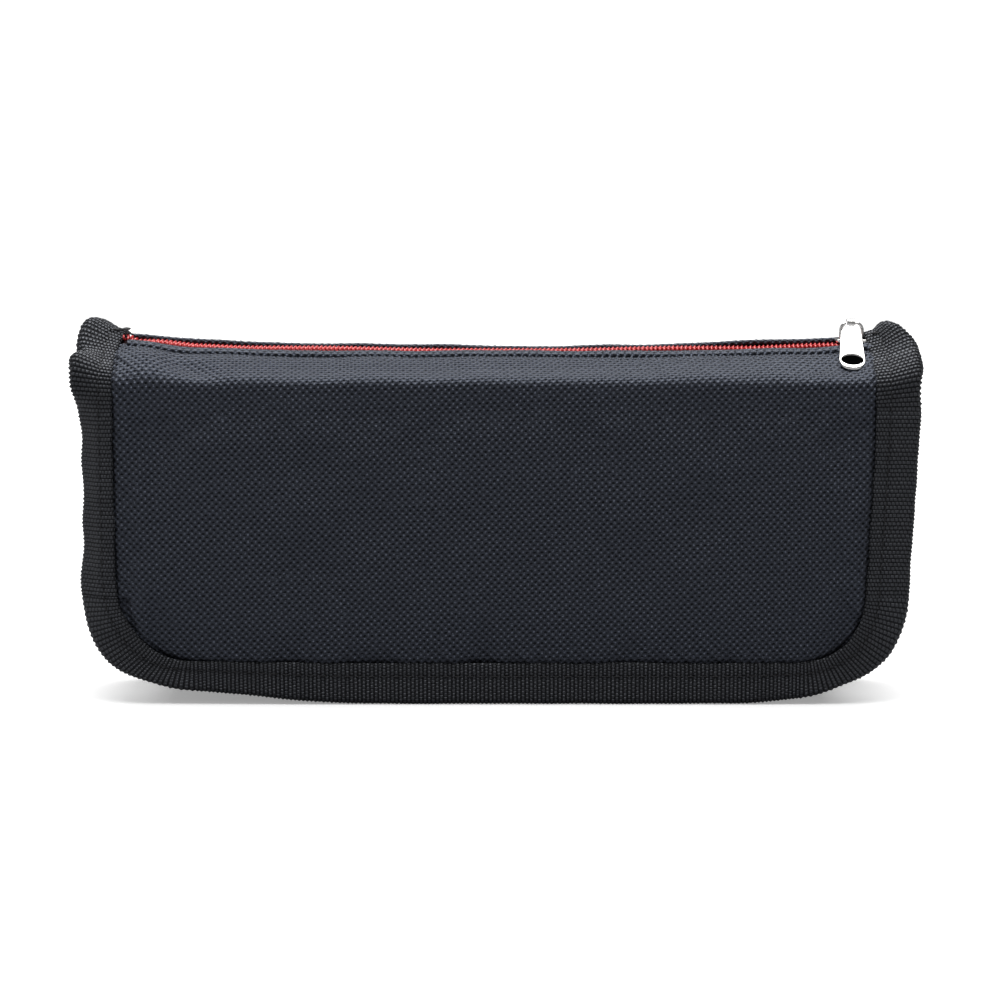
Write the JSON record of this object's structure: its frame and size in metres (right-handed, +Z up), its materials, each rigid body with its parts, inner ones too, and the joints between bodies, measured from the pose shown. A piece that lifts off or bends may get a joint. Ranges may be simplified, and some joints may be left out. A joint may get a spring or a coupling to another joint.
{
  "type": "lipo safe bag",
  "caption": "Stiff zipped fire-resistant pouch for model battery packs, with padded panels, bound seams, a low roof and a coil zip along its ridge.",
  "frame": {"origin": "on the ground, under the middle of the bag", "axes": "+X to the right along the zip, +Y from the front panel to the back panel, +Z up"},
  "size_m": [0.2392, 0.038, 0.1106],
  "materials": {
    "outer_fabric": "matte coated weave",
    "binding_tape": "matte ribbed tape",
    "glass_cloth": "satin woven glass",
    "foam": "matte closed-cell foam",
    "zip_tape": "matte woven tape",
    "zip_coil": "satin moulded coil",
    "thread": "twisted thread",
    "nickel": "polished nickel plate"
  },
  "bodies": {
    "bag": {"front_cover": "outer_fabric", "front_foam_board": "foam", "front_liner": "glass_cloth", "front_binding": "binding_tape", "back_cover": "outer_fabric", "back_foam_board": "foam", "back_liner": "glass_cloth", "back_binding": "binding_tape", "gusset_cover": "outer_fabric", "gusset_foam": "foam", "gusset_liner": "glass_cloth", "right_end_binding": "binding_tape", "left_end_binding": "binding_tape", "right_zip_end": "zip_coil", "left_zip_end": "zip_coil", "right_bartack": "thread", "left_bartack": "thread"},
    "front_roof": {"front_flap_cover": "outer_fabric", "front_flap_liner": "glass_cloth", "front_zip_tape": "zip_tape", "front_zip_coil": "zip_coil"},
    "back_roof": {"back_flap_cover": "outer_fabric", "back_flap_liner": "glass_cloth", "back_zip_tape": "zip_tape", "back_zip_coil": "zip_coil"},
    "slider": {"slider_body": "nickel", "slider_bridge": "nickel"},
    "tab": {"pull_tab": "nickel"}
  },
  "joints": [
    {"name": "front_roof_fold", "type": "hinge", "parent": "bag", "child": "front_roof", "pos_m": [0, -0.018, 0.0926], "axis": [1, 0, 0], "range_deg": [0, 70]},
    {"name": "back_roof_fold", "type": "hinge", "parent": "bag", "child": "back_roof", "pos_m": [0, 0.018, 0.0926], "axis": [-1, 0, 0], "range_deg": [0, 70]},
    {"name": "zip_travel", "type": "slide", "parent": "bag", "child": "slider", "axis": [1, 0, 0], "range_m": [-0.204, 0]},
    {"name": "tab_swing", "type": "hinge", "parent": "slider", "child": "tab", "pos_m": [0.102, 0, 0.1089], "axis": [-1, 0, 0], "range_deg": [0, 250]}
  ]
}
